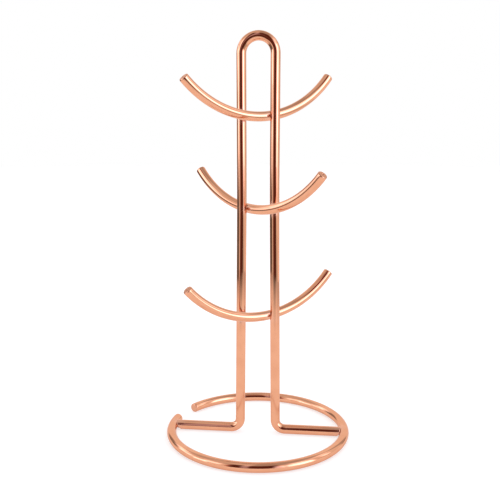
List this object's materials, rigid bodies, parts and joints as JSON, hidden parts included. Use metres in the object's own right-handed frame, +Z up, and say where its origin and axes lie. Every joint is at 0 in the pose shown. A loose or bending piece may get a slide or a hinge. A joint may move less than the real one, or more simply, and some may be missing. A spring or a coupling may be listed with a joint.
{
  "type": "mug tree",
  "caption": "Countertop mug tree of bent round wire: an open base ring, a looped double-leg post and crossed upswept arms that hold mugs by their handles.",
  "frame": {"origin": "centre of the base ring, on the floor it stands on", "axes": "+Z up along the post, +X along the feet towards the right foot, -Y the front"},
  "size_m": [0.157, 0.157, 0.338],
  "materials": {
    "copper_plated_wire": "bright copper plating on drawn steel wire",
    "plated_weld": "plated weld metal, a little duller and darker than the wire"
  },
  "bodies": {
    "root": {"post_frame": "copper_plated_wire", "base_ring": "copper_plated_wire", "upper_arm": "copper_plated_wire", "middle_arm": "copper_plated_wire", "lower_arm": "copper_plated_wire", "upper_arm_left_weld": "plated_weld", "upper_arm_right_weld": "plated_weld", "middle_arm_left_weld": "plated_weld", "middle_arm_right_weld": "plated_weld", "lower_arm_left_weld": "plated_weld", "lower_arm_right_weld": "plated_weld", "left_foot_weld": "plated_weld", "right_foot_weld": "plated_weld"}
  },
  "joints": []
}
